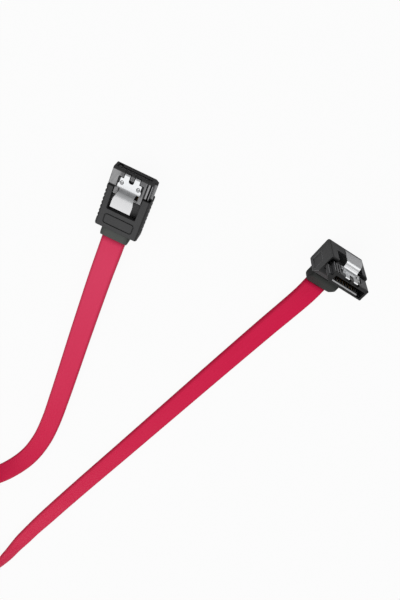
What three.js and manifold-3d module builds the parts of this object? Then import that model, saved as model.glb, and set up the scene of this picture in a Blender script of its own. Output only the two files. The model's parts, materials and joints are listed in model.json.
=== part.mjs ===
// A flat serial data cable with a straight latching plug at one end and a right-angle one at the other.
// Both plugs share one head: a moulded insert with an L-shaped slot, seven spring contacts and a
// stamped steel latch. Units are millimetres and +Z is up.
import * as THREE from 'three';
import { mergeVertices } from 'three/addons/utils/BufferGeometryUtils.js';
import Module from 'manifold-3d';

const wasm = await Module();
wasm.setup();

// Clearances between pieces that touch on the real cable
const SEAT = 0.3;
const ROUND_STEPS = 4;

// Both shells are as wide as each other, and what sits in them takes its width from theirs
const SHELL_WIDTH = 15.4;

// Insert: the grey moulding that carries the slot. X runs across it, Y points out of the mouth,
// Z towards the latch. Y = 0 is the shell's rim and Z = 0 the insert's latch side.
const INSERT_LEFT = 0.3 - SHELL_WIDTH / 2;
const INSERT_RIGHT = SHELL_WIDTH / 2 - 0.2;
const INSERT_REACH = 6.5;
const INSERT_DEPTH = 4.4;
const INSERT_TAIL = 3.0;
const TAIL_INSET = 0.8;
const TAIL_TOP = -1.4;
const CORNER_CUT = 1.3;
const LEDGE_WIDTH = 0.95;
const LEDGE_DROP = 1.85;
const GROOVES = [{ fromRight: 2.6, depth: 0.85 }, { fromRight: 1.45, depth: 2.2 }];
const GROOVE_WIDTH = 0.6;
const RIM_STEP = { length: 0.5, depth: 0.55 };
const SHOULDER_LENGTH = 2.6;
const SHOULDER_TOP = -0.75;
const SHOULDER_WIDTH = 1.3;

// L-shaped slot
const SLOT_LEFT = INSERT_LEFT + 0.8;
const SLOT_RIGHT = INSERT_RIGHT - 2.0;
const SLOT_TOP = -1.15;
const SLOT_WIDTH = 1.95;
const LEG_WIDTH = 1.6;
const LEG_REACH = 2.75;
const SLOT_END = -2.2;
const SLOT_LEAD = 0.35;

// Contacts
const CONTACT_COUNT = 7;
const CONTACT_PITCH = 1.27;
const CONTACT_WIDTH = 0.6;
const CONTACT_THICKNESS = 0.22;
const CHANNEL_DEPTH = 0.62;
const CHANNEL_CLEARANCE = 0.15;
const CONTACT_BOW = 0.75;
const CONTACT_RISE = { foot: 0.4, up: 1.6, crest: 2.5, down: 3.4 };
const CONTACT_TIP = 4.4;

// Latch: one strip of stamped steel, measured from the insert like everything in the head
const LATCH_CENTRE = -0.4;
const LATCH_THICKNESS = 0.3;
const LATCH_FLAT = 3.1;
const LATCH_BLANK = { bottom: -5, top: 8 };
const CROWN_MARGIN = 3.7;
const CROWN_WIDTH = SHELL_WIDTH - 2 * CROWN_MARGIN;
const LEVER_WIDTH = CROWN_WIDTH - 1.0;
const LEVER_LENGTH = 5.6;
const LEVER_RISE = 3.05;
const NECK_WIDTH = CROWN_WIDTH - 2.3;
const CROWN_STEP = 0.35;
const CROWN_BACK = 0.5;
const CROWN_FRONT = 4.1;
const PRONG_OUTER = 5.3;
const PRONG_GAP = 1.7;
const PRONG_TIP = 5.6;
const PRONG_DROP = 0.4;
const NOTCH_BOTTOM = 3.2;
const BARB_SPREAD = CROWN_WIDTH - 2.3;
const BARB_LENGTH = 1.2;
const BARB_HEIGHT = 0.45;
const BARB_WIDTH = 0.9;
const BARB_BACK = 1.8;
const DECK_FLOOR = -0.85;
const DECK_SIDE = 0.45;

// Shell parts that both plugs share
const WINDOW_LEFT = 2.3 - SHELL_WIDTH / 2;
const WINDOW_RIGHT = SHELL_WIDTH / 2 - 2.8;
const WINDOW_TOP = 5;
const POCKET_FLOOR = -2.7;
const SHELL_BEVEL = 0.6;
const SHELL_CORNER = 0.9;

// Straight plug
const STRAIGHT_LENGTH = 16.0;
const STRAIGHT_BOTTOM = -6.6;
const STRAIGHT_TOP = -0.5;
const STRAIGHT_WINDOW = 8.9;
const PANEL_MARGIN = 1.6;
const PANEL_SIDE = 2.4;
const PANEL_WIDTH = SHELL_WIDTH - 2 * PANEL_SIDE;
const PANEL_LENGTH = 3.9;
const PANEL_DEPTH = 0.25;
const PANEL_LINE = 0.3;
const RIB_COUNT = 8;
const RIB_PITCH = 1.55;
const RIB_DEPTH = 0.45;
const RIB_START = 2.2;

// Right-angle plug
const ANGLED_HEIGHT = 12.0;
const ANGLED_TOP = 1.0;
const ANGLED_DEPTH = 10.6;
const ANGLED_WINDOW = 7.2;
const ANGLED_SHOULDER = 7.0;
const ANGLED_BACK_HEIGHT = 7.2;
const SIDE_PANEL = { from: 2.2, to: 8.4, back: 1.6, front: 4.6, depth: 0.25 };
const CHEEK_WALL = 0.4;
const CHEEK_START = 0.6;

// Flat cable
const CABLE_WIDTH = 8.6;
const CABLE_THICKNESS = 2.4;
const CABLE_EDGE = 1.0;
const CABLE_STEPS = 64;
const STRAIGHT_LEAD = 5;
const ANGLED_LEAD = 6;

// Boots, where the cable enters. Heights are counted from the cable's centre, and level is that
// centre's height in the plug.
const BOOT_SPIGOT = 1.2;
const SPIGOT_INSET = { side: 1.0, top: 0.7 };
const STRAIGHT_BOOT = {
  length: 4.0, width: 10.4, top: 2.3, bottom: -2.3, endTop: 1.9, endBottom: -1.9, round: 1.5, level: 2.9,
};
const ANGLED_BOOT = {
  length: 5.6, width: 11.6, top: 4.7, bottom: -1.6, endTop: 1.9, endBottom: -1.6, round: 2.4, level: 1.75,
};
const BOOT_END_MARGIN = 0.5;
const BOOT_CORNER = 1.4;

// How the two plugs lie on the floor: the straight one leans on its left edge, held by its cable
const STRAIGHT_PLACE = { x: -69.5, y: -31.4, turn: 11.8, lean: 10.0 };

const PLASTIC_BLACK = new THREE.MeshStandardMaterial({ color: 0x3a3a3c, roughness: 0.5, metalness: 0 });
const PLASTIC_GREY = new THREE.MeshStandardMaterial({ color: 0x6a6b6d, roughness: 0.45, metalness: 0 });
const BOOT_RUBBER = new THREE.MeshStandardMaterial({ color: 0x363937, roughness: 0.7, metalness: 0 });
const LATCH_STEEL = new THREE.MeshStandardMaterial({ color: 0xd8dadc, roughness: 0.22, metalness: 1 });
const CONTACT_GOLD = new THREE.MeshStandardMaterial({ color: 0xc8a050, roughness: 0.3, metalness: 1 });
const CABLE_RED = new THREE.MeshStandardMaterial({ color: 0xcf3059, roughness: 0.45, metalness: 0 });

function solidOf(geometry) {
  const bare = geometry.clone();
  bare.deleteAttribute('normal');
  bare.deleteAttribute('uv');
  const merged = mergeVertices(bare, 1e-5);
  return new wasm.Manifold(new wasm.Mesh({
    numProp: 3,
    vertProperties: new Float32Array(merged.attributes.position.array),
    triVerts: new Uint32Array(merged.index.array),
  }));
}

function geometryOf(solid) {
  const mesh = solid.getMesh();
  const geometry = new THREE.BufferGeometry();
  geometry.setAttribute('position', new THREE.BufferAttribute(mesh.vertProperties, 3));
  geometry.setIndex(new THREE.BufferAttribute(mesh.triVerts, 1));
  geometry.computeVertexNormals();
  return geometry;
}

// A closed outline from corners [x, y, radius]; a corner with a radius is rounded, by less where
// the sides that meet there are short.
function outline(corners) {
  const shape = new THREE.Shape();
  corners.forEach(([x, y, wanted = 0], index) => {
    const corner = new THREE.Vector2(x, y);
    const before = new THREE.Vector2(...corners.at(index - 1)).sub(corner);
    const after = new THREE.Vector2(...corners[(index + 1) % corners.length]).sub(corner);
    const radius = Math.min(wanted, before.length() * 0.48, after.length() * 0.48);
    const enter = before.setLength(radius).add(corner);
    const leave = after.setLength(radius).add(corner);
    if (index === 0) {
      shape.moveTo(enter.x, enter.y);
    } else {
      shape.lineTo(enter.x, enter.y);
    }
    if (radius > 0) {
      shape.quadraticCurveTo(x, y, leave.x, leave.y);
    }
  });
  return shape;
}

function rectangle(left, right, bottom, top, radius = 0) {
  return outline([
    [left, bottom, radius],
    [right, bottom, radius],
    [right, top, radius],
    [left, top, radius],
  ]);
}

function extruded(shape, depth) {
  return new THREE.ExtrudeGeometry(shape, { depth, bevelEnabled: false, curveSegments: ROUND_STEPS });
}

// Prisms along each axis, from an outline in the other two
function alongX(shapeYZ, from, to) {
  const turn = new THREE.Matrix4().makeBasis(
    new THREE.Vector3(0, 1, 0), new THREE.Vector3(0, 0, 1), new THREE.Vector3(1, 0, 0));
  return solidOf(extruded(shapeYZ, to - from).applyMatrix4(turn).translate(from, 0, 0));
}

function alongY(shapeXZ, from, to) {
  return solidOf(extruded(shapeXZ, to - from).rotateX(Math.PI / 2).translate(0, to, 0));
}

function alongZ(shapeXY, from, to) {
  return solidOf(extruded(shapeXY, to - from).translate(0, 0, from));
}

// The section across the insert: a plain left side, and on the right a stepped ledge and a cut corner
function insertSection() {
  const step = INSERT_RIGHT - LEDGE_WIDTH;
  return outline([
    [INSERT_LEFT, -INSERT_DEPTH, 0.3],
    [INSERT_RIGHT - CORNER_CUT, -INSERT_DEPTH],
    [INSERT_RIGHT, CORNER_CUT - INSERT_DEPTH],
    [INSERT_RIGHT, -LEDGE_DROP],
    [step, -LEDGE_DROP],
    [step, 0],
    [INSERT_LEFT, 0, 0.3],
  ]);
}

function tailSection() {
  return rectangle(INSERT_LEFT + TAIL_INSET, INSERT_RIGHT - TAIL_INSET,
    TAIL_INSET / 2 - INSERT_DEPTH, TAIL_TOP, 0.3);
}

// The L: a long arm under the latch, and a leg at the left that keeps the plug from going in reversed
function slotSection() {
  const bottom = SLOT_TOP - SLOT_WIDTH;
  return outline([
    [SLOT_LEFT, SLOT_TOP - LEG_REACH],
    [SLOT_LEFT + LEG_WIDTH, SLOT_TOP - LEG_REACH],
    [SLOT_LEFT + LEG_WIDTH, bottom],
    [SLOT_RIGHT, bottom],
    [SLOT_RIGHT, SLOT_TOP],
    [SLOT_LEFT, SLOT_TOP],
  ]);
}

function contactPlaces() {
  const middle = (SLOT_LEFT + LEG_WIDTH + SLOT_RIGHT) / 2;
  return Array.from({ length: CONTACT_COUNT },
    (_, index) => middle + (index - (CONTACT_COUNT - 1) / 2) * CONTACT_PITCH);
}

function channelCuts() {
  const floor = SLOT_TOP - SLOT_WIDTH;
  const half = CONTACT_WIDTH / 2 + CHANNEL_CLEARANCE;
  return contactPlaces().map((x) => {
    const section = rectangle(x - half, x + half, floor - CHANNEL_DEPTH, floor + 0.2);
    return alongY(section, -INSERT_TAIL - 1, INSERT_REACH - 0.9);
  });
}

// The bevel that leads a tongue in over the slot's lower edge
function leadIn() {
  const floor = SLOT_TOP - SLOT_WIDTH;
  return alongX(outline([
    [INSERT_REACH - SLOT_LEAD, floor],
    [INSERT_REACH + 0.1, floor - SLOT_LEAD - 0.1],
    [INSERT_REACH + 0.1, floor],
  ]), SLOT_LEFT + LEG_WIDTH + 0.1, SLOT_RIGHT);
}

// Two narrow channels beside the ledge, from the rim to just short of the mouth
function grooveCuts() {
  return GROOVES.map(({ fromRight, depth }) => {
    const middle = INSERT_RIGHT - fromRight;
    return alongY(rectangle(middle - GROOVE_WIDTH / 2, middle + GROOVE_WIDTH / 2, -depth, 1),
      -1, INSERT_REACH - 0.5);
  });
}

// The hollow under the latch: a wide deck, and two notches through the front lip for the prongs
function deckCuts() {
  const half = CROWN_WIDTH / 2 + DECK_SIDE;
  const deck = alongZ(rectangle(LATCH_CENTRE - half, LATCH_CENTRE + half,
    -INSERT_TAIL - 1, CROWN_FRONT + SEAT, 0.4), DECK_FLOOR, 2);
  const notches = [-1, 1].map((side) => {
    const near = LATCH_CENTRE + side * (PRONG_GAP / 2 - SEAT);
    const far = LATCH_CENTRE + side * (PRONG_OUTER / 2 + SEAT);
    const plan = rectangle(Math.min(near, far), Math.max(near, far), CROWN_FRONT, INSERT_REACH + 1);
    return alongZ(plan, DECK_FLOOR, 2);
  });
  return [deck, ...notches];
}

// A shallow step all the way across, where the insert comes out of the rim
function rimStep() {
  return alongX(rectangle(-1, RIM_STEP.length, -RIM_STEP.depth, 1), INSERT_LEFT - 1, INSERT_RIGHT + 1);
}

function shoulder(side) {
  const wall = side < 0 ? WINDOW_LEFT + SEAT : WINDOW_RIGHT - SEAT;
  const inner = wall - side * SHOULDER_WIDTH;
  return alongZ(outline([
    [wall, 0],
    [inner, 0],
    [inner, -SHOULDER_LENGTH, SHOULDER_WIDTH * 0.8],
    [wall, -SHOULDER_LENGTH],
  ]), TAIL_TOP - 0.2, SHOULDER_TOP);
}

function makeInsert() {
  let body = alongY(insertSection(), 0, INSERT_REACH).add(alongY(tailSection(), -INSERT_TAIL, 0.1));
  const slot = alongY(slotSection(), SLOT_END, INSERT_REACH + 1);
  [slot, leadIn(), rimStep(), ...grooveCuts(), ...channelCuts(), ...deckCuts()].forEach((cut) => {
    body = body.subtract(cut);
  });
  return geometryOf(body.add(shoulder(-1)).add(shoulder(1)));
}

// A bent strip: the outline on both sides of a centreline
function stripOutline(centreline, thickness) {
  const steps = centreline.points.length * 3;
  const above = [];
  const below = [];
  for (let i = 0; i <= steps; i += 1) {
    const point = centreline.getPoint(i / steps);
    const tangent = centreline.getTangent(i / steps);
    const offset = new THREE.Vector2(-tangent.y, tangent.x).multiplyScalar(thickness / 2);
    above.push(point.clone().add(offset));
    below.unshift(point.clone().sub(offset));
  }
  return new THREE.Shape([...above, ...below]);
}

// Each contact runs along its channel, bows up into the slot and turns down again at its tip
function makeContact(x) {
  const floor = SLOT_TOP - SLOT_WIDTH - CHANNEL_DEPTH + CHANNEL_CLEARANCE + CONTACT_THICKNESS / 2;
  const line = new THREE.SplineCurve([
    new THREE.Vector2(-INSERT_TAIL - 0.4, floor),
    new THREE.Vector2(-1, floor),
    new THREE.Vector2(CONTACT_RISE.foot, floor),
    new THREE.Vector2(CONTACT_RISE.up, floor + CONTACT_BOW * 0.7),
    new THREE.Vector2(CONTACT_RISE.crest, floor + CONTACT_BOW),
    new THREE.Vector2(CONTACT_RISE.down, floor + CONTACT_BOW * 0.7),
    new THREE.Vector2(CONTACT_TIP, floor),
  ]);
  const half = CONTACT_WIDTH / 2;
  return geometryOf(alongX(stripOutline(line, CONTACT_THICKNESS), x - half, x + half));
}

// Seen from the side the latch dips at the prongs, lies flat at the crown, rises steeply and ends
// in the raised lever that the finger presses
function latchProfile() {
  const level = -LATCH_THICKNESS / 2;
  return stripOutline(new THREE.SplineCurve([
    new THREE.Vector2(PRONG_TIP, level - PRONG_DROP),
    new THREE.Vector2(PRONG_TIP - 0.02, level - PRONG_DROP * 0.55),
    new THREE.Vector2(PRONG_TIP - 0.3, level - 0.02),
    new THREE.Vector2(CROWN_FRONT + 0.8, level),
    new THREE.Vector2(CROWN_FRONT, level),
    new THREE.Vector2(CROWN_FRONT - LATCH_FLAT / 2, level),
    new THREE.Vector2(CROWN_FRONT - LATCH_FLAT, level),
    new THREE.Vector2(0.3, level + LEVER_RISE * 0.1),
    new THREE.Vector2(-0.15, level + LEVER_RISE * 0.38),
    new THREE.Vector2(-0.55, level + LEVER_RISE * 0.66),
    new THREE.Vector2(-1.3, level + LEVER_RISE * 0.84),
    new THREE.Vector2(-LEVER_LENGTH * 0.5, level + LEVER_RISE * 0.94),
    new THREE.Vector2(-LEVER_LENGTH * 0.8, level + LEVER_RISE),
    new THREE.Vector2(-LEVER_LENGTH, level + LEVER_RISE * 0.97),
  ]), LATCH_THICKNESS);
}

function latchPlan() {
  const crown = CROWN_WIDTH / 2;
  const prong = PRONG_OUTER / 2;
  const notch = PRONG_GAP / 2;
  const half = [
    [notch, NOTCH_BOTTOM, notch * 0.9],
    [notch, PRONG_TIP + 1],
    [prong, PRONG_TIP + 1],
    [prong, CROWN_FRONT, 0.15],
    [crown - CROWN_STEP, CROWN_FRONT, 0.25],
    [crown - CROWN_STEP, BARB_BACK + 0.4],
    [crown, BARB_BACK],
    [crown, CROWN_BACK, 0.25],
    [NECK_WIDTH / 2, CROWN_BACK, 0.2],
    [NECK_WIDTH / 2, -0.4],
    [LEVER_WIDTH / 2, -LEVER_LENGTH * 0.45, 0.6],
    [LEVER_WIDTH / 2, -LEVER_LENGTH - 1],
  ];
  const mirrored = half.map(([x, y, radius]) => [-x, y, radius]).reverse();
  return outline([...half, ...mirrored].reverse().map(([x, y, radius]) => [x + LATCH_CENTRE, y, radius]));
}

function barb(side) {
  const x = LATCH_CENTRE + side * BARB_SPREAD / 2;
  const profile = outline([
    [BARB_BACK, -LATCH_THICKNESS / 2],
    [BARB_BACK + BARB_LENGTH, -LATCH_THICKNESS / 2],
    [BARB_BACK + 0.15, BARB_HEIGHT],
  ]);
  return alongX(profile, x - BARB_WIDTH / 2, x + BARB_WIDTH / 2);
}

function makeLatch() {
  const strip = alongX(latchProfile(), LATCH_CENTRE - CROWN_WIDTH, LATCH_CENTRE + CROWN_WIDTH);
  const stamped = strip.intersect(alongZ(latchPlan(), LATCH_BLANK.bottom, LATCH_BLANK.top));
  return geometryOf(stamped.add(barb(-1)).add(barb(1)));
}

// The hole in a shell that takes the insert's tail and the front of its body
function tailPocket() {
  const left = INSERT_LEFT + TAIL_INSET - SEAT;
  const right = INSERT_RIGHT - TAIL_INSET + SEAT;
  return alongY(rectangle(left, right, TAIL_INSET / 2 - INSERT_DEPTH - SEAT, TAIL_TOP + SEAT, 0.3),
    -INSERT_TAIL - SEAT - 0.6, 1);
}

// The U-shaped window over the lever, open towards the mouth
function windowCut(length) {
  return alongZ(outline([
    [WINDOW_LEFT, 1],
    [WINDOW_LEFT, -length, 0.4],
    [WINDOW_RIGHT, -length, 0.4],
    [WINDOW_RIGHT, 1],
  ]), POCKET_FLOOR, WINDOW_TOP);
}

function makeStraightShell() {
  const half = SHELL_WIDTH / 2;
  const section = outline([
    [-half, STRAIGHT_BOTTOM, SHELL_CORNER],
    [half, STRAIGHT_BOTTOM, SHELL_CORNER],
    [half, STRAIGHT_TOP - SHELL_BEVEL],
    [half - SHELL_BEVEL, STRAIGHT_TOP],
    [SHELL_BEVEL - half, STRAIGHT_TOP],
    [-half, STRAIGHT_TOP - SHELL_BEVEL],
  ]);
  const plan = rectangle(-half, half, -STRAIGHT_LENGTH, -SEAT, 0.5);
  let shell = alongY(section, -STRAIGHT_LENGTH, -SEAT).intersect(alongZ(plan, STRAIGHT_BOTTOM - 1, 2));
  const cuts = [
    tailPocket(), windowCut(STRAIGHT_WINDOW), panelLine(), ...gripCuts(), spigotHole(STRAIGHT_BOOT),
  ];
  cuts.forEach((cut) => {
    shell = shell.subtract(cut);
  });
  return geometryOf(shell);
}

// The outlined thumb panel behind the window
function panelLine() {
  const half = PANEL_WIDTH / 2;
  const back = PANEL_MARGIN - STRAIGHT_LENGTH;
  const frame = rectangle(-half, half, back, back + PANEL_LENGTH, 1);
  const inside = rectangle(PANEL_LINE - half, half - PANEL_LINE, back + PANEL_LINE,
    back + PANEL_LENGTH - PANEL_LINE, 0.8);
  return alongZ(frame, STRAIGHT_TOP - PANEL_DEPTH, 2).subtract(alongZ(inside, STRAIGHT_TOP - 1, 3));
}

// Upright grip grooves in both side faces
function gripCuts() {
  const cuts = [];
  const half = SHELL_WIDTH / 2;
  for (let index = 0; index < RIB_COUNT; index += 1) {
    const y = RIB_START + index * RIB_PITCH - STRAIGHT_LENGTH;
    [-1, 1].forEach((side) => {
      const corners = [
        [side * (half + 0.2), y],
        [side * (half + 0.2), y + RIB_PITCH * 0.85],
        [side * (half - RIB_DEPTH), y + RIB_PITCH * 0.55],
        [side * (half - RIB_DEPTH), y + RIB_PITCH * 0.3],
      ];
      const groove = outline(side > 0 ? corners : corners.reverse());
      cuts.push(alongZ(groove, STRAIGHT_BOTTOM - 1, STRAIGHT_TOP + 1));
    });
  }
  return cuts;
}

function spigotSection(boot, clearance) {
  const half = boot.width / 2 - SPIGOT_INSET.side + clearance;
  return rectangle(-half, half, boot.bottom + SPIGOT_INSET.top - clearance,
    boot.top - SPIGOT_INSET.top + clearance, 0.8);
}

function spigotHole(boot) {
  return alongY(spigotSection(boot, SEAT), -STRAIGHT_LENGTH - 1, -STRAIGHT_LENGTH + BOOT_SPIGOT + SEAT)
    .translate([0, 0, STRAIGHT_BOTTOM + boot.level]);
}

// A boot points along -Y from the cable's centre at the shell: rounded in section, in plan and
// from the side, with a spigot that goes into the shell
function makeBoot(boot) {
  const half = boot.width / 2;
  const endHalf = CABLE_WIDTH / 2 + BOOT_END_MARGIN;
  const section = rectangle(-half, half, boot.bottom, boot.top, BOOT_CORNER);
  const plan = outline([
    [-half, -SEAT, 0.3],
    [-half, boot.round * 0.8 - boot.length, boot.round * 0.7],
    [-endHalf, -boot.length, 0.7],
    [endHalf, -boot.length, 0.7],
    [half, boot.round * 0.8 - boot.length, boot.round * 0.7],
    [half, -SEAT, 0.3],
  ]);
  const side = outline([
    [-SEAT, boot.bottom, 0.3],
    [-boot.length, boot.endBottom, 0.3],
    [-boot.length, boot.endTop, 0.5],
    [-boot.length * 0.3, boot.top, 1.0],
    [-SEAT, boot.top, 0.3],
  ]);
  const body = alongY(section, -boot.length - 1, 0)
    .intersect(alongZ(plan, boot.bottom - 1, boot.top + 1))
    .intersect(alongX(side, -half - 1, half + 1));
  return geometryOf(body.add(alongY(spigotSection(boot, 0), -SEAT - 0.2, BOOT_SPIGOT)));
}

// The right-angle shell: tall behind the latch, and falling in a slope to the cable side
function makeAngledShell() {
  const half = SHELL_WIDTH / 2;
  const back = ANGLED_TOP - ANGLED_DEPTH;
  const side = outline([
    [-ANGLED_HEIGHT, back, 0.8],
    [-ANGLED_HEIGHT, ANGLED_TOP, 0.8],
    [-SEAT, ANGLED_TOP, 0.4],
    [-SEAT, ANGLED_TOP - ANGLED_SHOULDER, 0.5],
    [ANGLED_BACK_HEIGHT - ANGLED_HEIGHT, back, 1.0],
  ].reverse());
  const plan = rectangle(-half, half, back, ANGLED_TOP, 1.1);
  let shell = alongX(side, -half, half).intersect(alongY(plan, -ANGLED_HEIGHT - 1, 1));
  const cuts = [
    tailPocket(), windowCut(ANGLED_WINDOW), cheekCut(), ...sidePanels(), angledSpigotHole(),
  ];
  cuts.forEach((cut) => {
    shell = shell.subtract(cut);
  });
  return geometryOf(shell);
}

// The open corner of the rim beside the insert's ledge
function cheekCut() {
  const left = WINDOW_RIGHT + CHEEK_START;
  const right = SHELL_WIDTH / 2 - CHEEK_WALL;
  return alongY(outline([
    [left, TAIL_TOP - 1.4],
    [right, TAIL_TOP - 1.4],
    [right, ANGLED_TOP - 0.8, 0.9],
    [left, ANGLED_TOP - 0.8, 0.5],
  ]), -INSERT_TAIL, 1);
}

// A bare recessed panel on both side faces
function sidePanels() {
  const half = SHELL_WIDTH / 2;
  const shape = rectangle(SIDE_PANEL.from - ANGLED_HEIGHT, SIDE_PANEL.to - ANGLED_HEIGHT,
    ANGLED_TOP - ANGLED_DEPTH + SIDE_PANEL.back, ANGLED_TOP - SIDE_PANEL.front, 0.6);
  return [
    alongX(shape, half - SIDE_PANEL.depth, half + 1),
    alongX(shape, -half - 1, SIDE_PANEL.depth - half),
  ];
}

function angledSpigotHole() {
  const back = ANGLED_TOP - ANGLED_DEPTH;
  return alongZ(spigotSection(ANGLED_BOOT, SEAT), back - 1, back + BOOT_SPIGOT + SEAT)
    .translate([0, ANGLED_BOOT.level - ANGLED_HEIGHT, 0]);
}

function part(name, geometry, material) {
  const mesh = new THREE.Mesh(geometry, material);
  mesh.name = name;
  return mesh;
}

// Insert, latch and contacts, alike in both plugs
function makeHead(prefix) {
  const head = new THREE.Group();
  head.add(part(`${prefix}_insert`, makeInsert(), PLASTIC_GREY));
  head.add(part(`${prefix}_latch`, makeLatch(), LATCH_STEEL));
  contactPlaces().forEach((x, index) => {
    head.add(part(`${prefix}_contact_${index + 1}`, makeContact(x), CONTACT_GOLD));
  });
  return head;
}

// The straight plug's origin is on its underside, at the shell's back edge
function makeStraightPlug() {
  const plug = new THREE.Group();
  const head = makeHead('straight');
  head.add(part('straight_shell', makeStraightShell(), PLASTIC_BLACK));
  head.position.set(0, STRAIGHT_LENGTH, -STRAIGHT_BOTTOM);
  const boot = part('straight_boot', makeBoot(STRAIGHT_BOOT), BOOT_RUBBER);
  boot.position.z = STRAIGHT_BOOT.level;
  plug.add(head, boot);
  plug.position.set(STRAIGHT_PLACE.x, STRAIGHT_PLACE.y, 0);
  plug.rotation.set(0, -THREE.MathUtils.degToRad(STRAIGHT_PLACE.lean),
    THREE.MathUtils.degToRad(STRAIGHT_PLACE.turn), 'ZYX');
  plug.position.z = -new THREE.Box3().setFromObject(plug, true).min.z;
  return plug;
}

// The right-angle plug lies on its back with its mouth up; its origin is the middle of that back
function makeAngledPlug() {
  const plug = new THREE.Group();
  const head = makeHead('angled');
  head.add(part('angled_shell', makeAngledShell(), PLASTIC_BLACK));
  head.setRotationFromMatrix(new THREE.Matrix4().makeBasis(
    new THREE.Vector3(-1, 0, 0), new THREE.Vector3(0, 0, 1), new THREE.Vector3(0, 1, 0)));
  head.position.set(0, ANGLED_DEPTH / 2 - ANGLED_TOP, ANGLED_HEIGHT);
  const boot = part('angled_boot', makeBoot(ANGLED_BOOT), BOOT_RUBBER);
  boot.position.set(0, -ANGLED_DEPTH / 2, ANGLED_BOOT.level);
  plug.add(head, boot);
  return plug;
}

// A curve that carries its own roll, so that a flat section can turn on edge along it
class LaidCable extends THREE.CatmullRomCurve3 {
  constructor(points, rolls) {
    super(points, false, 'centripetal');
    this.rolls = rolls;
    this.arcLengthDivisions = 800;
  }

  rollAt(u) {
    const place = this.getUtoTmapping(u) * (this.rolls.length - 1);
    const index = Math.min(Math.floor(place), this.rolls.length - 2);
    return THREE.MathUtils.degToRad(
      THREE.MathUtils.lerp(this.rolls[index], this.rolls[index + 1], place - index));
  }

  computeFrenetFrames(segments) {
    const tangents = [];
    const normals = [];
    const binormals = [];
    for (let i = 0; i <= segments; i += 1) {
      const tangent = this.getTangentAt(i / segments);
      const side = new THREE.Vector3(0, 0, 1).cross(tangent).normalize();
      side.applyAxisAngle(tangent, this.rollAt(i / segments));
      tangents.push(tangent);
      normals.push(side);
      binormals.push(tangent.clone().cross(side));
    }
    return { tangents, normals, binormals };
  }
}

// The route over the floor, from the straight plug to the right-angle one: x, y, lift of the
// cable's lowest edge and roll in degrees. The cable stands on edge to turn round.
const ROUTE = [
  [-65.3, -54.0, 1.0, 9],
  [-61.6, -70.5, 0.3, 8],
  [-57.6, -88.0, 0.08, 6],
  [-53.5, -105.5, 0.08, 4],
  [-49.6, -122.5, 0.08, 3],
  [-46.3, -138.0, 0.08, 4],
  [-44.4, -152.0, 0.08, 10],
  [-44.8, -166.0, 0.08, 24],
  [-48.4, -179.5, 0.08, 42],
  [-54.6, -192.5, 0.08, 60],
  [-62.0, -205.5, 0.08, 75],
  [-69.4, -219.5, 0.08, 86],
  [-75.6, -234.5, 0.08, 90],
  [-79.8, -250.5, 0.08, 90],
  [-81.0, -267.0, 0.08, 90],
  [-76.8, -282.5, 0.08, 90],
  [-65.5, -293.8, 0.08, 90],
  [-50.0, -298.0, 0.08, 90],
  [-34.5, -293.8, 0.08, 88],
  [-23.6, -283.0, 0.08, 76],
  [-19.2, -268.5, 0.08, 54],
  [-18.6, -250.5, 0.08, 30],
  [-17.8, -230.0, 0.08, 10],
  [-16.0, -205.0, 0.08, 0],
  [-13.4, -172.0, 0.08, 0],
  [-10.4, -138.0, 0.08, 0],
  [-7.4, -103.0, 0.08, 0],
  [-4.4, -68.0, 0.08, 0],
  [-1.9, -40.0, 0.12, 0],
];

function heightOnFloor(roll) {
  const angle = THREE.MathUtils.degToRad(roll);
  return CABLE_EDGE + (CABLE_WIDTH / 2 - CABLE_EDGE) * Math.abs(Math.sin(angle))
    + (CABLE_THICKNESS / 2 - CABLE_EDGE) * Math.abs(Math.cos(angle));
}

function makeCable(straightPlug) {
  const straightExit = (back) => straightPlug.localToWorld(
    new THREE.Vector3(0, -STRAIGHT_BOOT.length - back, STRAIGHT_BOOT.level));
  const angledExit = (back) => new THREE.Vector3(
    0, -ANGLED_DEPTH / 2 - ANGLED_BOOT.length - back, ANGLED_BOOT.level);
  const laid = ROUTE.map(([x, y, lift, roll]) => new THREE.Vector3(x, y, lift + heightOnFloor(roll)));
  const points = [
    straightExit(SEAT),
    straightExit(SEAT + STRAIGHT_LEAD),
    ...laid,
    angledExit(SEAT + ANGLED_LEAD),
    angledExit(SEAT),
  ];
  const rolls = [STRAIGHT_PLACE.lean, STRAIGHT_PLACE.lean, ...ROUTE.map((row) => row[3]), 0, 0];
  const halfWidth = CABLE_WIDTH / 2;
  const halfThick = CABLE_THICKNESS / 2;
  const section = outline([
    [-halfWidth, -halfThick, CABLE_EDGE],
    [halfWidth, -halfThick, CABLE_EDGE],
    [halfWidth, halfThick, CABLE_EDGE],
    [-halfWidth, halfThick, CABLE_EDGE],
  ]);
  return new THREE.ExtrudeGeometry(section, {
    steps: CABLE_STEPS, curveSegments: 2, extrudePath: new LaidCable(points, rolls),
  });
}

const dataCable = new THREE.Group();
const straightPlug = makeStraightPlug();
straightPlug.updateMatrixWorld(true);
dataCable.add(straightPlug, makeAngledPlug());
dataCable.add(part('cable', makeCable(straightPlug), CABLE_RED));

export default dataCable;
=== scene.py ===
# %% [markdown]
# # A flat data cable with two latching plugs
# The frame holds the hard parts of the cable as solids, in metres. This lesson gives them their
# finishes, makes the flexible jacket anew, and sets up the camera and the light.

# %% Load the frame
import json
import math

import bmesh
import bpy
from mathutils import Matrix, Vector


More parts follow.
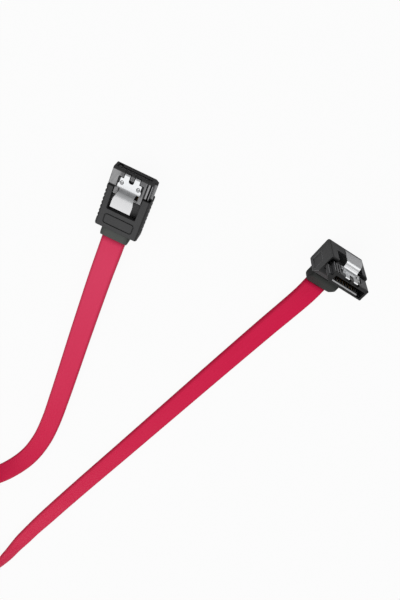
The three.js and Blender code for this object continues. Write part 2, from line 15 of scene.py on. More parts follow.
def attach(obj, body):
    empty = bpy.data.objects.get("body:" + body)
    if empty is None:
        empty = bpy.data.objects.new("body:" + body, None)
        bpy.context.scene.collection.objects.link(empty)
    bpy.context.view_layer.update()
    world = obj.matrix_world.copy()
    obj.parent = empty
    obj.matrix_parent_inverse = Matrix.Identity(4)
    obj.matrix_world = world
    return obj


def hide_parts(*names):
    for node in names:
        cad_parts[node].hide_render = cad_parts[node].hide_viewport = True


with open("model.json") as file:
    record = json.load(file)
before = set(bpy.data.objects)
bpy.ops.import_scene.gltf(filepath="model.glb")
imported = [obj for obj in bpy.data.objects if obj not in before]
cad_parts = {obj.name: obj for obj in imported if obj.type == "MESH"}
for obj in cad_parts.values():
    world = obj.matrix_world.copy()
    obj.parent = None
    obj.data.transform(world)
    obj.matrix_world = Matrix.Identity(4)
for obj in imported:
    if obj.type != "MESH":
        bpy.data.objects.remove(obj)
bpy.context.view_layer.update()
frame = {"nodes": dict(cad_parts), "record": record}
MM = 0.001
print("nodes in the frame:", len(frame["nodes"]))

# %% [markdown]
# ## The camera
# A camera looks along its own -Z with +Y up. Its place and its three axes come from fitting the
# corners of both plugs and the edges of the cable, so they are written down as a matrix and not
# turned by hand. The lens is 1.0065 times as long as the sensor's long side.

# %% Camera
CAMERA_PLACE = Vector((-95.46, 76.04, 181.5)) * MM
CAMERA_RIGHT = Vector((0.83222, 0.55146, -0.05739))
CAMERA_DOWN = Vector((0.47086, -0.64831, 0.59832))
CAMERA_FORWARD = Vector((0.29274, -0.52495, -0.7992))
SENSOR_MM = 36.0
LENS_TO_SENSOR = 1.0065


def place_camera():
    data = bpy.data.cameras.new("camera")
    data.sensor_width = SENSOR_MM
    data.lens = SENSOR_MM * LENS_TO_SENSOR
    data.clip_start = 0.01
    camera = bpy.data.objects.new("camera", data)
    bpy.context.collection.objects.link(camera)
    turn = Matrix((CAMERA_RIGHT, -CAMERA_DOWN, -CAMERA_FORWARD)).transposed()
    camera.matrix_world = Matrix.Translation(CAMERA_PLACE) @ turn.to_4x4()
    bpy.context.scene.camera = camera
    return camera


camera = place_camera()
print("camera at", [round(v, 3) for v in camera.location])

# %% [markdown]
# ## The route of the jacket
# The jacket is 0.6 m of flat cable. It could be a curve with a bevel, but a flat section has to
# keep its own roll along the way, because the cable stands on edge where it turns round. So each
# row of the route has a place on the floor, the lift of its lowest edge and a roll in degrees.
# A centripetal Catmull-Rom spline passes through every row without overshooting.

# %% Route
CABLE_WIDTH = 8.6
CABLE_THICKNESS = 2.4
CABLE_EDGE = 1.0
PLUG_LEAN = 10.0
STRAIGHT_EXIT = [(-69.114, -35.712, 4.05), (-68.091, -40.606, 4.05)]
ANGLED_EXIT = [(0.0, -17.2, 1.75), (0.0, -11.2, 1.75)]
ROUTE = [
    (-65.3, -54.0, 1.0, 9),
    (-61.6, -70.5, 0.3, 8),
    (-57.6, -88.0, 0.08, 6),
    (-53.5, -105.5, 0.08, 4),
    (-49.6, -122.5, 0.08, 3),
    (-46.3, -138.0, 0.08, 4),
    (-44.4, -152.0, 0.08, 10),
    (-44.8, -166.0, 0.08, 24),
    (-48.4, -179.5, 0.08, 42),
    (-54.6, -192.5, 0.08, 60),
    (-62.0, -205.5, 0.08, 75),
    (-69.4, -219.5, 0.08, 86),
    (-75.6, -234.5, 0.08, 90),
    (-79.8, -250.5, 0.08, 90),
    (-81.0, -267.0, 0.08, 90),
    (-76.8, -282.5, 0.08, 90),
    (-65.5, -293.8, 0.08, 90),
    (-50.0, -298.0, 0.08, 90),
    (-34.5, -293.8, 0.08, 88),
    (-23.6, -283.0, 0.08, 76),
    (-19.2, -268.5, 0.08, 54),
    (-18.6, -250.5, 0.08, 30),
    (-17.8, -230.0, 0.08, 10),
    (-16.0, -205.0, 0.08, 0),
    (-13.4, -172.0, 0.08, 0),
    (-10.4, -138.0, 0.08, 0),
    (-7.4, -103.0, 0.08, 0),
    (-4.4, -68.0, 0.08, 0),
    (-1.9, -40.0, 0.12, 0),
]


def height_on_floor(roll):
    angle = math.radians(roll)
    return (CABLE_EDGE + (CABLE_WIDTH / 2 - CABLE_EDGE) * abs(math.sin(angle))
            + (CABLE_THICKNESS / 2 - CABLE_EDGE) * abs(math.cos(angle)))


def route_points():
    """Each point as (place in metres, roll in radians)."""
    laid = [Vector((x, y, lift + height_on_floor(roll))) for x, y, lift, roll in ROUTE]
    places = [Vector(p) for p in STRAIGHT_EXIT] + laid + [Vector(p) for p in ANGLED_EXIT]
    rolls = [PLUG_LEAN] * 2 + [row[3] for row in ROUTE] + [0, 0]
    return [(place * MM, math.radians(roll)) for place, roll in zip(places, rolls)]


def spline_between(before, start, end, after, t):
    """Centripetal Catmull-Rom between start and end, by repeated linear steps."""
    knots = [0.0]
    chain = (before, start, end, after)
    for one, two in zip(chain, chain[1:]):
        knots.append(knots[-1] + math.sqrt((two - one).length))
    at = knots[1] + (knots[2] - knots[1]) * t
    layer = list(chain)
    for span in (1, 2, 3):
        low = [knots[i] for i in range(4 - span)]
        high = [knots[i + span] for i in range(4 - span)]
        if span == 3:
            low, high = [knots[1]], [knots[2]]
        layer = [a.lerp(b, (at - lo) / (hi - lo)) for a, b, lo, hi in zip(layer, layer[1:], low, high)]
    return layer[0]


STEP = 2.2 * MM
LEAST_STEPS = 2


def stations():
    """Close points along the whole route, each with its roll."""
    rows = route_points()
    places = [row[0] for row in rows]
    padded = [places[0] * 2 - places[1], *places, places[-1] * 2 - places[-2]]
    result = []
    for index in range(len(rows) - 1):
        start, end = padded[index + 1], padded[index + 2]
        count = max(LEAST_STEPS, round((end - start).length / STEP))
        for step in range(count):
            t = step / count
            place = spline_between(padded[index], start, end, padded[index + 3], t)
            ease = t * t * (3 - 2 * t)
            roll = rows[index][1] * (1 - ease) + rows[index + 1][1] * ease
            result.append((place, roll))
    result.append(rows[-1])
    return result


cable_stations = stations()
cable_length = sum((b[0] - a[0]).length for a, b in zip(cable_stations, cable_stations[1:]))
print("stations:", len(cable_stations), "cable length in m:", round(cable_length, 4))

# %% [markdown]
# ## The jacket as a swept ring
# One ring of edges is a circle whose two halves are pulled apart, which gives the flat section
# with round edges of the real jacket. The ring is extruded from station to station and moved by
# the matrix between their frames. Each point keeps how far along and how far across it lies, so
# that the finish can follow the surface round every bend. The extrusion makes its faces in no
# fixed order, so they are sorted at the end.

# %% Jacket
RING_POINTS = 28
SMALL_STEP = 1e-6


def station_matrix(places, index, roll):
    """A frame whose X runs across the flat cable, Y through it and Z along it."""
    last = len(places) - 1
    along = (places[min(index + 1, last)] - places[max(index - 1, 0)]).normalized()
    across = Vector((0, 0, 1)).cross(along).normalized()
    across.rotate(Matrix.Rotation(roll, 3, along))
    frame3 = Matrix((across, along.cross(across), along)).transposed()
    return Matrix.Translation(places[index]) @ frame3.to_4x4()


def flat_ring(bm):
    half = CABLE_THICKNESS / 2 * MM
    turn = Matrix.Rotation(math.pi / RING_POINTS, 4, "Z")
    made = bmesh.ops.create_circle(
        bm, segments=RING_POINTS, radius=half, cap_ends=False, matrix=turn)
    ring = made["verts"]
    spread = CABLE_WIDTH / 2 * MM - half
    for side in (-1, 1):
        verts = [vert for vert in ring if vert.co.x * side > 0]
        bmesh.ops.translate(bm, verts=verts, vec=(side * spread, 0, 0))
    return ring


def face_order(face):
    """Faces go by their lowest vertex and then by their highest, the same on every run."""
    numbers = [vert.index for vert in face.verts]
    return min(numbers) + max(numbers) * SMALL_STEP


def make_jacket():
    bm = bmesh.new()
    along = bm.verts.layers.float.new("along")
    across = bm.verts.layers.float.new("across")
    ring = flat_ring(bm)
    for vert in ring:
        vert[across] = vert.co.x / (CABLE_WIDTH / 2 * MM)
    places = [place for place, _ in cable_stations]
    matrices = [station_matrix(places, i, roll) for i, (_, roll) in enumerate(cable_stations)]
    bmesh.ops.transform(bm, matrix=matrices[0], verts=ring)
    edges = bm.edges[:]
    bmesh.ops.edgeloop_fill(bm, edges=edges)
    travelled = 0.0
    for index in range(1, len(matrices)):
        made = bmesh.ops.extrude_edge_only(bm, edges=edges)["geom"]
        verts = [item for item in made if isinstance(item, bmesh.types.BMVert)]
        edges = [item for item in made if isinstance(item, bmesh.types.BMEdge)]
        bmesh.ops.transform(bm, matrix=matrices[index] @ matrices[index - 1].inverted(), verts=verts)
        travelled += (places[index] - places[index - 1]).length
        for vert in verts:
            vert[along] = travelled
    bmesh.ops.edgeloop_fill(bm, edges=edges)
    bmesh.ops.recalc_face_normals(bm, faces=bm.faces)
    bm.verts.index_update()
    bm.faces.sort(key=face_order)
    return bm


def as_piece(bm, name):
    mesh = bpy.data.meshes.new(name)
    bm.to_mesh(mesh)
    bm.free()
    piece = bpy.data.objects.new(name, mesh)
    bpy.context.collection.objects.link(piece)
    for polygon in mesh.polygons:
        polygon.use_smooth = len(polygon.vertices) == 4
    return piece


jacket = as_piece(make_jacket(), "flat_jacket")
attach(jacket, "cable_and_plugs")
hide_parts("cable")
print("jacket faces:", len(jacket.data.polygons))

# %% [markdown]
# ## Shader maths as Python
# A wire stands for one output of a shader node. Adding or multiplying wires adds Math nodes, so a
# formula reads as it would on paper. Every other node comes from one method, which sets the
# node's settings first and then its inputs.

# %% Wires and finishes
BEVEL_SAMPLES = 6
OPENNESS_SAMPLES = 8
EDGE_TURN = (0.995, 0.85)


class Wire:
    def __init__(self, finish, socket):
        self.finish = finish
        self.socket = socket

    def maths(self, operation, first, second):
        return self.finish.node("ShaderNodeMath", {"operation": operation}, {0: first, 1: second})

    def __add__(self, other):
        return self.maths("ADD", self, other)

    def __sub__(self, other):
        return self.maths("SUBTRACT", self, other)

    def __mul__(self, other):
        return self.maths("MULTIPLY", self, other)

    def __rsub__(self, other):
        return self.maths("SUBTRACT", other, self)

    def abs(self):
        return self.maths("ABSOLUTE", self, 0.0)

    def larger(self, other):
        return self.maths("MAXIMUM", self, other)

    __radd__ = __add__
    __rmul__ = __mul__


class Finish:
    """A material that is being put together."""

    def __init__(self, name):
        self.material = bpy.data.materials.new(name)
        self.material.use_nodes = True
        self.tree = self.material.node_tree
        self.tree.nodes.clear()

    def node(self, kind, settings=None, inputs=None, output=0):
        made = self.tree.nodes.new(kind)
        for key, value in (settings or {}).items():
            if key == "stops":
                self.set_stops(made, value)
            else:
                setattr(made, key, value)
        for key, value in (inputs or {}).items():
            if isinstance(value, Wire):
                self.tree.links.new(value.socket, made.inputs[key])
            else:
                made.inputs[key].default_value = value
        return Wire(self, made.outputs[output])

    @staticmethod
    def set_stops(ramp, stops):
        elements = ramp.color_ramp.elements
        while len(elements) < len(stops):
            elements.new(0.5)
        for element, (position, value) in zip(elements, stops):
            element.position = position
            element.color = (value, value, value, 1)

    def place(self, stretch=(1, 1, 1)):
        coordinates = self.node("ShaderNodeTexCoord", output="Object")
        return self.node("ShaderNodeMapping", None, {"Vector": coordinates, "Scale": stretch})

    def noise(self, size_mm, detail=2.0, vector=None):
        where = vector if vector is not None else self.place()
        return self.node("ShaderNodeTexNoise", None,
                         {"Vector": where, "Scale": 1000.0 / size_mm, "Detail": detail}, "Fac")

    def ramp(self, value, stops):
        return self.node("ShaderNodeValToRGB", {"stops": stops}, {0: value})

    def mix(self, factor, first, second):
        return self.node("ShaderNodeMix", {"data_type": "RGBA"}, {0: factor, 6: first, 7: second}, 2)

    def rise(self, value, start, full):
        """0 up to one value and 1 from the other on; the second may be the smaller one."""
        return self.node("ShaderNodeMapRange", None, {"Value": value, "From Min": start, "From Max": full})

    def band(self, value, start, end, soft=0.12):
        return self.rise(value, start - soft, start) * self.rise(value, end + soft, end)

    def dot(self, first, second):
        settings = {"operation": "DOT_PRODUCT"}
        return self.node("ShaderNodeVectorMath", settings, {0: first, 1: second}, "Value")

    def ruler(self, head, axis):
        """Millimetres from a head's origin, measured along one of its axes."""
        direction = head.col[axis].to_3d()
        coordinates = self.node("ShaderNodeTexCoord", output="Object")
        return self.dot(coordinates, direction) * (1 / MM) - head.translation.dot(direction)

    def facing(self, direction, start=0.9, full=0.97):
        """1 where the surface faces along a direction of the frame, falling to 0 beside it."""
        normal = self.node("ShaderNodeNewGeometry", None, None, "Normal")
        return self.rise(self.dot(normal, direction), start, full)

    def soft_edges(self, radius_mm):
        return self.node("ShaderNodeBevel", {"samples": BEVEL_SAMPLES}, {"Radius": radius_mm * MM})

    def openness(self, reach_mm):
        """1 on open surfaces, falling to 0 in grooves and corners narrower than the reach."""
        settings = {"samples": OPENNESS_SAMPLES}
        return self.node("ShaderNodeAmbientOcclusion", settings, {"Distance": reach_mm * MM}, "AO")

    def edges(self, radius_mm):
        """1 on sharp edges, where the rounded normal leaves the true one, and 0 on flats."""
        normal = self.node("ShaderNodeNewGeometry", None, None, "Normal")
        return self.rise(self.dot(normal, self.soft_edges(radius_mm)), *EDGE_TURN)

    def bump(self, height, depth_mm, normal=None):
        inputs = {"Height": height, "Distance": depth_mm * MM, "Strength": 1.0}
        if normal is not None:
            inputs["Normal"] = normal
        return self.node("ShaderNodeBump", None, inputs)

    def surface(self, inputs):
        shader = self.node("ShaderNodeBsdfPrincipled", None, inputs)
        self.node_output(shader)
        return self.material

    def node_output(self, shader):
        made = self.tree.nodes.new("ShaderNodeOutputMaterial")
        self.tree.links.new(shader.socket, made.inputs["Surface"])


def colour(red, green, blue):
    """A colour picked on screen, from 0 to 255, as the linear values that shaders use."""
    def linear(value):
        value /= 255
        return value / 12.92 if value <= 0.04045 else ((value + 0.055) / 1.055) ** 2.4
    return (linear(red), linear(green), linear(blue), 1.0)


# %% [markdown]
# ## The jacket's finish
# The jacket is extruded vinyl in crimson: satin, with faint drawing lines that run along it. Its
# round edges are painted darker as shade, and near the straight plug it is painted paler as a
# sheen of the lamp. A noise stretched along the stored length gives the lines; an image would
# blur at this size and could not follow the bends.

# %% Jacket finish
# The span and share below, with their paler red, paint a sheen of the lamp near the straight plug.
SHEEN_SPAN = (0.12, 0.02)
SHEEN_SHARE = 0.45
LINE_STRETCH = 12.0
# The ramp below and the darker red paint shade on the jacket's round edges.
ROUND_EDGE_SHADE = [(0.72, 0.0), (1.0, 1.0)]
CRIMSON = (colour(198, 12, 62), colour(210, 22, 74))
BLOTCH = colour(201, 14, 66)
SHEEN_RED = colour(222, 78, 112)
EDGE_SHADE_RED = colour(162, 14, 48)


def jacket_finish():
    finish = Finish("jacket_red")
    along = finish.node("ShaderNodeAttribute", {"attribute_name": "along"}, None, "Fac")
    across = finish.node("ShaderNodeAttribute", {"attribute_name": "across"}, None, "Fac")
    surface = finish.node("ShaderNodeCombineXYZ", None, {0: across, 1: along * LINE_STRETCH, 2: 0.0})
    inputs = {"Vector": surface, "Scale": 7.0, "Detail": 4.0}
    lines = finish.node("ShaderNodeTexNoise", None, inputs, "Fac")
    blotches = finish.noise(9.0, 3.0)
    drawn = finish.mix(lines, *CRIMSON)
    patched = finish.mix(blotches * 0.5, drawn, BLOTCH)
    # Painted sheen: paler near the straight plug.
    sheened = finish.mix(finish.rise(along, *SHEEN_SPAN) * SHEEN_SHARE, patched, SHEEN_RED)
    # Painted shade on the round edges.
    shaded = finish.mix(finish.ramp(across.abs(), ROUND_EDGE_SHADE) * 0.5, sheened, EDGE_SHADE_RED)
    grain = finish.noise(0.35, 3.0)
    return finish.surface({
        "Base Color": shaded,
        "Roughness": 0.4 + blotches * 0.12,
        "Specular IOR Level": 0.1,
        "Normal": finish.bump(lines * 0.7 + grain * 0.3, 0.05),
    })


jacket.data.materials.append(jacket_finish())
print("jacket finished")

# %% [markdown]
# ## Where the two heads are
# Both plugs end in the same head, laid in two ways. A matrix for each head gives its three axes:
# X across it, Y out of the mouth and Z towards the latch. A ruler along one of them then measures
# in the head's own millimetres, so one formula marks the same place on both plugs.

# %% Heads
STRAIGHT_PLACE = (-69.5, -31.4, 1.194)
STRAIGHT_TURN = 11.8
HEAD_IN_STRAIGHT = (0, 16, 6.6)
HEAD_IN_ANGLED = (0, 4.3, 12)
HEAD_UPRIGHT = Matrix(((-1, 0, 0, 0), (0, 0, 1, 0), (0, 1, 0, 0), (0, 0, 0, 1)))


def straight_head():
    turn = Matrix.Rotation(math.radians(STRAIGHT_TURN), 4, "Z")
    lean = Matrix.Rotation(math.radians(-PLUG_LEAN), 4, "Y")
    return Matrix.Translation(STRAIGHT_PLACE) @ turn @ lean @ Matrix.Translation(HEAD_IN_STRAIGHT)


HEADS = {"straight": straight_head(), "angled": Matrix.Translation(HEAD_IN_ANGLED) @ HEAD_UPRIGHT}
X, Y, Z = 0, 1, 2
for head_name, head in HEADS.items():
    print(head_name, "head faces", [round(v, 3) for v in head.col[Y].to_3d()])

# %% [markdown]
# ## The mouldings
# The two shells are black moulded plastic with a fine spark texture from the mould, and the boots
# are softer and duller. The Bevel node rounds the light on sharp edges and leaves the solid's
# shape alone. Where its normal leaves the true one there is an edge, and the edge gets a painted
# tone: a dark line of painted shade on the straight shell, and a painted highlight on the other
# shell and on the boots. Ambient occlusion finds the deep places, which are painted darker as
# shade. The tones are pairs between which a slow noise wanders, then the painted edge tone.

# %% Moulded finishes
BLACK = colour(14, 14, 15)
EDGE_WIDTH = 0.34
GROOVE_REACH = 0.5
# Painted shadow gap on the shell, where the insert goes in (head millimetres).
SHELL_SHADOW_GAP = (-0.55, 0.12)
# A painted line of shade along the shell's flank, with its strength next.
FLANK = (7.05, 7.3)
FLANK_SHADE = 0.7
BACK_FACING = (0.5, 0.8)
BACK_ROUGHNESS = 0.48
# The boot's rounded ends are painted darker as shade, over this span and by this share.
BOOT_ENDS = (3.2, 6.0)
BOOT_END_SHADE = 0.75
# The third tone of each shell is painted on sharp edges: shade on the straight one, a highlight on the
# angled one.
SHELL_TONES = {
    "straight": (colour(46, 46, 47), colour(59, 59, 60), colour(24, 24, 25)),
    "angled": (colour(52, 52, 53), colour(69, 69, 70), colour(138, 138, 140)),
}
# The angled boot's tones are darker than the straight boot's as painted shade; the third tone is a painted
# highlight on edges.
BOOT_TONES = {
    "straight": (colour(54, 57, 54), colour(74, 77, 74), colour(100, 104, 100)),
    "angled": (colour(22, 25, 22), colour(37, 40, 37), colour(84, 88, 84)),
}


def moulded_tone(finish, dark, light, painted_edge_tone, grain, flow):
    tone = finish.mix(flow * 0.6 + grain * 0.4, dark, light)
    # Painted light on sharp edges: the edge tone is shade on the straight shell and a highlight on the
    # rest.
    edged = finish.mix(finish.edges(EDGE_WIDTH) * finish.openness(GROOVE_REACH), tone, painted_edge_tone)
    # Painted shade: deep places are darkened towards black.
    cavity_shade = finish.rise(finish.openness(2.2), 0.62, 0.25)
    return finish.mix(cavity_shade, edged, BLACK)


def shell_finish(name, head, dark, light, painted_edge_tone):
    """Black moulding with painted shade: a shadow gap against the insert and a line on the flank; the back
    is duller.
    """
    finish = Finish(name + "_finish")
    grain = finish.noise(0.4, 3.0)
    flow = finish.noise(3.5, 2.0, finish.place((1, 1, 0.4)))
    tone = moulded_tone(finish, dark, light, painted_edge_tone, grain, flow)
    # Painted shadow gap where the insert enters the shell.
    gap_shade = finish.band(finish.ruler(head, Y), *SHELL_SHADOW_GAP)
    # Painted shade along the flank.
    painted_flank_shade = finish.band(finish.ruler(head, X).abs(), *FLANK, soft=0.1) * FLANK_SHADE
    back = finish.facing(-head.col[Z].to_3d(), *BACK_FACING)
    return finish.surface({
        "Base Color": finish.mix(gap_shade.larger(painted_flank_shade), tone, BLACK),
        "Roughness": 0.42 + flow * 0.1 + back * BACK_ROUGHNESS,
        "Specular IOR Level": 0.28,
        "Normal": finish.bump(grain, 0.012, finish.soft_edges(0.18)),
    })


def boot_finish(name, head, dark, light, painted_edge_tone):
    """Dull moulding, painted darker towards its rounded ends as shade."""
    finish = Finish(name + "_finish")
    grain = finish.noise(0.55, 3.0)
    flow = finish.noise(3.5, 2.0)
    tone = moulded_tone(finish, dark, light, painted_edge_tone, grain, flow)
    # Painted shade: darker towards the rounded ends.
    end_shade = finish.rise(finish.ruler(head, X).abs(), *BOOT_ENDS)
    return finish.surface({
        "Base Color": finish.mix(end_shade * BOOT_END_SHADE, tone, BLACK),
        "Roughness": 0.55 + flow * 0.1,
        "Specular IOR Level": 0.3,
        "Normal": finish.bump(grain, 0.02, finish.soft_edges(0.3)),
    })


FINISHES = {}
for head_name, head in HEADS.items():
    shell, boot = head_name + "_shell", head_name + "_boot"
    FINISHES[shell] = shell_finish(shell, head, *SHELL_TONES[head_name])
    FINISHES[boot] = boot_finish(boot, head, *BOOT_TONES[head_name])
print("moulded finishes:", sorted(FINISHES))

# %% [markdown]
# ## The inserts
# The insert is the same black plastic. Its latch side is pale with a drawn-out texture: partly its
# own paler texture, and partly a painted sheen of the lamp on the straight plug, while the angled
# plug has darker tones there as painted shade. A mask that reads which way the surface faces
# paints only that side, so the slot and the mouth stay dark, and ambient occlusion keeps grooves
# and deep places painted dark as shade. The outer rails and the shoulders are the palest, sharp
# edges get a painted highlight, and the rim stays black, apart from a painted highlight on the
# slot's lip. A dark band on the rails where they enter the shell is a painted shadow gap. All
# places are in the head's millimetres.

# %% Insert finishes
RAILS = (4.2, 5.0)
SHOULDERS = (0.6, 0.3)
# Deck and rail tones paint the pale latch side: partly its own texture, partly a painted sheen on the
# straight plug, and painted shade in the angled plug's darker tones.
DRAWN_AND_PAINTED_LIGHT_TONES = {
    "straight": {
        "deck": (colour(80, 80, 81), colour(112, 112, 113)),
        "rails": (colour(120, 120, 121), colour(166, 166, 167)),
        "lip": colour(48, 48, 49),
    },
    "angled": {
        "deck": (colour(56, 56, 57), colour(80, 80, 81)),
        "rails": (colour(66, 66, 67), colour(92, 92, 93)),
        "lip": colour(172, 172, 173),
    },
}
RIM = (5.75, 5.95)
# Painted shadow gap on the rails where they enter the shell.
RAIL_SHADOW_GAP = (-0.2, 0.6)
# The band below and its ends mark a painted highlight line on the slot's lip.
LIP = (-3.45, -3.15)
LIP_ENDS = (-4.9, 5.3)
STREAK_LENGTH = 0.88
INSERT_BLACK = (colour(34, 34, 36), colour(46, 46, 48))
# Painted highlight on the insert's sharp edges.
INSERT_EDGE_HIGHLIGHT = colour(158, 158, 160)


# drawn holds one head's tones, with their painted sheen and shade.
def insert_finish(name, head, drawn):
    finish = Finish(name + "_insert_finish")
    stretch = [1.0 - STREAK_LENGTH * abs(part) for part in head.col[Y].to_3d()]
    streaks = finish.noise(0.5, 4.0, finish.place(stretch))
    grain = finish.noise(0.2, 2.0)
    across = finish.ruler(head, X)
    along = finish.ruler(head, Y)
    outer = finish.rise(across.abs(), *RAILS)
    bright = outer.larger(finish.rise(along, *SHOULDERS))
    # Painted shade: the pale side is kept off grooves and corners.
    open_side = finish.rise(finish.openness(1.2), 0.45, 0.75)
    latch_side = finish.facing(head.col[Z].to_3d()) * open_side
    dark = finish.mix(grain, *INSERT_BLACK)
    deck = finish.mix(streaks, *drawn["deck"])
    rails = finish.mix(streaks, *drawn["rails"])
    side = finish.mix(latch_side, dark, finish.mix(bright, deck, rails))
    # Painted highlight on sharp edges.
    edges = finish.edges(EDGE_WIDTH) * finish.openness(GROOVE_REACH)
    edged = finish.mix(edges, side, INSERT_EDGE_HIGHLIGHT)
    rim = finish.rise(along, *RIM)
    # Painted highlight on the slot's lip, faint on the straight plug.
    lip = finish.band(finish.ruler(head, Z), *LIP, soft=0.05) * finish.band(across, *LIP_ENDS) * rim
    # Painted shade: deep places in the insert are darkened to black.
    insert_cavity_shade = finish.rise(finish.openness(2.5), 0.55, 0.2)
    # The rail band paints a shadow gap; the rim itself is black.
    marked = rim.larger(finish.band(along, *RAIL_SHADOW_GAP) * outer).larger(insert_cavity_shade)
    tone = finish.mix(lip, finish.mix(marked, edged, BLACK), drawn["lip"])
    return finish.surface({
        "Base Color": tone,
        "Roughness": 0.34 + streaks * 0.12,
        "Specular IOR Level": 0.3,
        "Normal": finish.bump(streaks * 0.6 + grain * 0.4, 0.008, finish.soft_edges(0.12)),
    })


for head_name, head in HEADS.items():
    FINISHES[head_name + "_insert"] = insert_finish(head_name, head, DRAWN_AND_PAINTED_LIGHT_TONES[head_name])
print("finishes so far:", sorted(FINISHES))

# %% [markdown]
# ## The metals
# The latch is stamped from bright spring steel, with a fine grain along the strip; the contacts
# are gold plated, and their gold is painted darker as shade deep in the slot. Both are metallic
# and mirror the lamps, so their look comes mostly from the light. The steel is painted darker at
# the bend and on the straight plug's lever, as shade. Each barb is lanced out
# of the strip, and a dark cut runs round it.

# %% Metal finishes
BARB_SIDE = 2.85
BARB_MIDDLE = 2.4
BARB_HALF = (0.55, 0.7)
LATCH_CENTRE = -0.4
BARB_CUT = (0.8, 1.3)
STEEL = (colour(196, 198, 200), colour(211, 212, 213))
STEEL_GRAIN = (1, 0.15, 1)
LEVER_START = (-0.9, -1.7)
# Painted shade on the steel at the bend; the lever tones below are painted shade too.
BEND_SHADE_STEEL = colour(182, 183, 184)
STEEL_LOOKS = {
    "straight": {
        "roughness": 0.27,
        "bend_shade": (-0.1, 0.4),
        "fade": 0.8,
        "lever": colour(188, 188, 189),
    },
    "angled": {
        "roughness": 0.2,
        "bend_shade": (-0.5, 0.4),
        "fade": 1.4,
        "lever": colour(204, 205, 207),
    },
}
# The gold is darkened as painted shade, for contacts deep in the slot.
GOLD_DARKENED_AS_SHADE = (colour(158, 122, 64), colour(184, 148, 84))
GOLD_GRAIN = (1, 0.3, 1)
GOLD_ROUGHNESS = 0.3


def barb_cuts(finish, head):
    """A dark ring round both barbs, in barb half-sizes from the middle of each."""
    across = ((finish.ruler(head, X) - LATCH_CENTRE).abs() - BARB_SIDE) * (1 / BARB_HALF[0])
    along = (finish.ruler(head, Y) - BARB_MIDDLE) * (1 / BARB_HALF[1])
    return finish.band(across * across + along * along, *BARB_CUT)


def metal(name, low, high, stretch):
    """A bare metal finish with its grain and its plain tone."""
    finish = Finish(name)
    grain = finish.noise(0.5, 4.0, finish.place(stretch))
    return finish, grain, finish.mix(grain, low, high)


def metal_surface(finish, grain, tone, roughness):
    return finish.surface({
        "Base Color": tone,
        "Metallic": 1.0,
        "Roughness": roughness + grain * 0.12,
        "Normal": finish.bump(grain, 0.004, finish.soft_edges(0.08)),
    })


def latch_finish(name, head, look):
    """Steel painted darker at the bend and on the lever as shade, with the cuts round its barbs."""
    finish, grain, tone = metal(name + "_latch_finish", *STEEL, STEEL_GRAIN)
    along = finish.ruler(head, Y)
    # Painted shade on the lever.
    tone = finish.mix(finish.rise(along, *LEVER_START), tone, look["lever"])
    # Painted shade at the bend.
    tone = finish.mix(finish.band(along, *look["bend_shade"], soft=look["fade"]), tone, BEND_SHADE_STEEL)
    tone = finish.mix(barb_cuts(finish, head), tone, BLACK)
    return metal_surface(finish, grain, tone, look["roughness"])


for head_name, head in HEADS.items():
    FINISHES[head_name + "_latch"] = latch_finish(head_name, head, STEEL_LOOKS[head_name])
# Darkened gold: painted shade deep in the slot.
gold = metal("contact_gold", *GOLD_DARKENED_AS_SHADE, GOLD_GRAIN)
FINISHES["contact_gold"] = metal_surface(*gold, GOLD_ROUGHNESS)


def slot_of(node):
    for entry in frame["record"]["subparts"]:
        if entry["node"] == node:
            return entry["material_slot"]
    raise KeyError(node)


for node_name, node_object in frame["nodes"].items():
    material = FINISHES.get(node_name) or FINISHES.get(slot_of(node_name))
    if material:
        node_object.data.materials.clear()
        node_object.data.materials.append(material)
print("finishes on the frame's nodes:", len(FINISHES))

# %% [markdown]
# ## Floor and light
# The cable was photographed on white. The floor is plain and pale, and most of what the camera
# sees of it is a glow of strength 1, so it stays white and still keeps a soft shadow. The light
# is a pale surrounding and two soft lamps: a broad one before the cable's turn and a smaller one
# behind the plugs. Reflections see the surrounding only a little brighter than other light does,
# so the steel mirrors mostly the lamps.

# %% Floor
FLOOR_GLOW = 0.94
MIRRORED_GLOW = 0.1
FLOOR_SIZE = 3.0
FLOOR_DROP = 0.02
PAPER = (colour(190, 190, 190), colour(196, 196, 196))


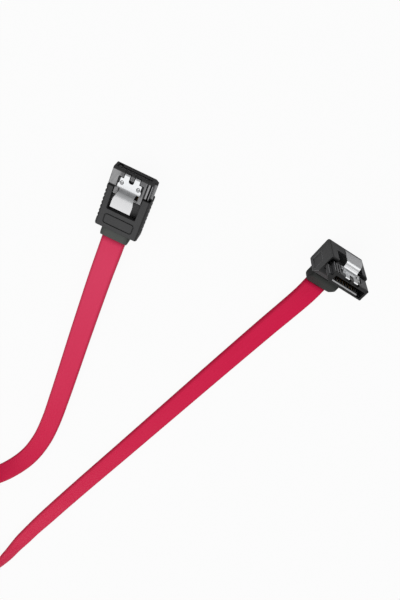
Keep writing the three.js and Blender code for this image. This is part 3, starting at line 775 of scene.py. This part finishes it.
def make_floor():
    bm = bmesh.new()
    bmesh.ops.create_grid(bm, x_segments=1, y_segments=1, size=FLOOR_SIZE)
    bmesh.ops.translate(bm, verts=bm.verts, vec=(0, 0, -FLOOR_DROP * MM))
    floor = as_piece(bm, "floor")
    finish = Finish("floor_white")
    tone = finish.mix(finish.noise(40.0, 2.0), *PAPER)
    matte = finish.node("ShaderNodeBsdfDiffuse", None, {"Color": tone})
    glow = finish.node("ShaderNodeEmission", None, {"Color": (1, 1, 1, 1), "Strength": 1.0})
    seen = finish.node("ShaderNodeLightPath", None, None, "Is Camera Ray")
    mirrored = finish.node("ShaderNodeLightPath", None, None, "Is Glossy Ray")
    shown = seen * FLOOR_GLOW + mirrored * MIRRORED_GLOW
    finish.node_output(finish.node("ShaderNodeMixShader", None, {0: shown, 1: matte, 2: glow}))
    floor.data.materials.append(finish.material)
    return floor


floor = make_floor()
print("floor set")

# %% Lights
LAMPS = {
    "overhead": {"place": (-0.22, -0.82, 0.9), "size": 2.3, "energy": 13.0},
    "side": {"place": (0.5, 0.72, 0.62), "size": 0.9, "energy": 3.2},
}
SURROUND = 0.5
MIRRORED_SURROUND = 0.1


def make_lights():
    for name, lamp in LAMPS.items():
        data = bpy.data.lights.new(name, "AREA")
        data.shape = "DISK"
        data.size = lamp["size"]
        data.energy = lamp["energy"]
        light = bpy.data.objects.new(name, data)
        light.location = lamp["place"]
        light.rotation_euler = (-Vector(lamp["place"])).to_track_quat("-Z", "Y").to_euler()
        bpy.context.collection.objects.link(light)


def make_surround():
    world = bpy.data.worlds.new("studio")
    world.use_nodes = True
    bpy.context.scene.world = world
    nodes, links = world.node_tree.nodes, world.node_tree.links
    background = nodes["Background"]
    background.inputs["Color"].default_value = (1, 1, 1, 1)
    rays = nodes.new("ShaderNodeLightPath")
    shown = nodes.new("ShaderNodeMath")
    shown.operation = "MULTIPLY_ADD"
    links.new(rays.outputs["Is Glossy Ray"], shown.inputs[0])
    shown.inputs[1].default_value = MIRRORED_SURROUND
    links.new(rays.outputs["Is Camera Ray"], shown.inputs[2])
    level = nodes.new("ShaderNodeMix")
    level.inputs["A"].default_value = SURROUND
    level.inputs["B"].default_value = 1.0
    links.new(shown.outputs[0], level.inputs["Factor"])
    links.new(level.outputs["Result"], background.inputs["Strength"])


make_lights()
make_surround()
bpy.context.scene.view_settings.view_transform = "Standard"
print("lamps:", list(LAMPS))
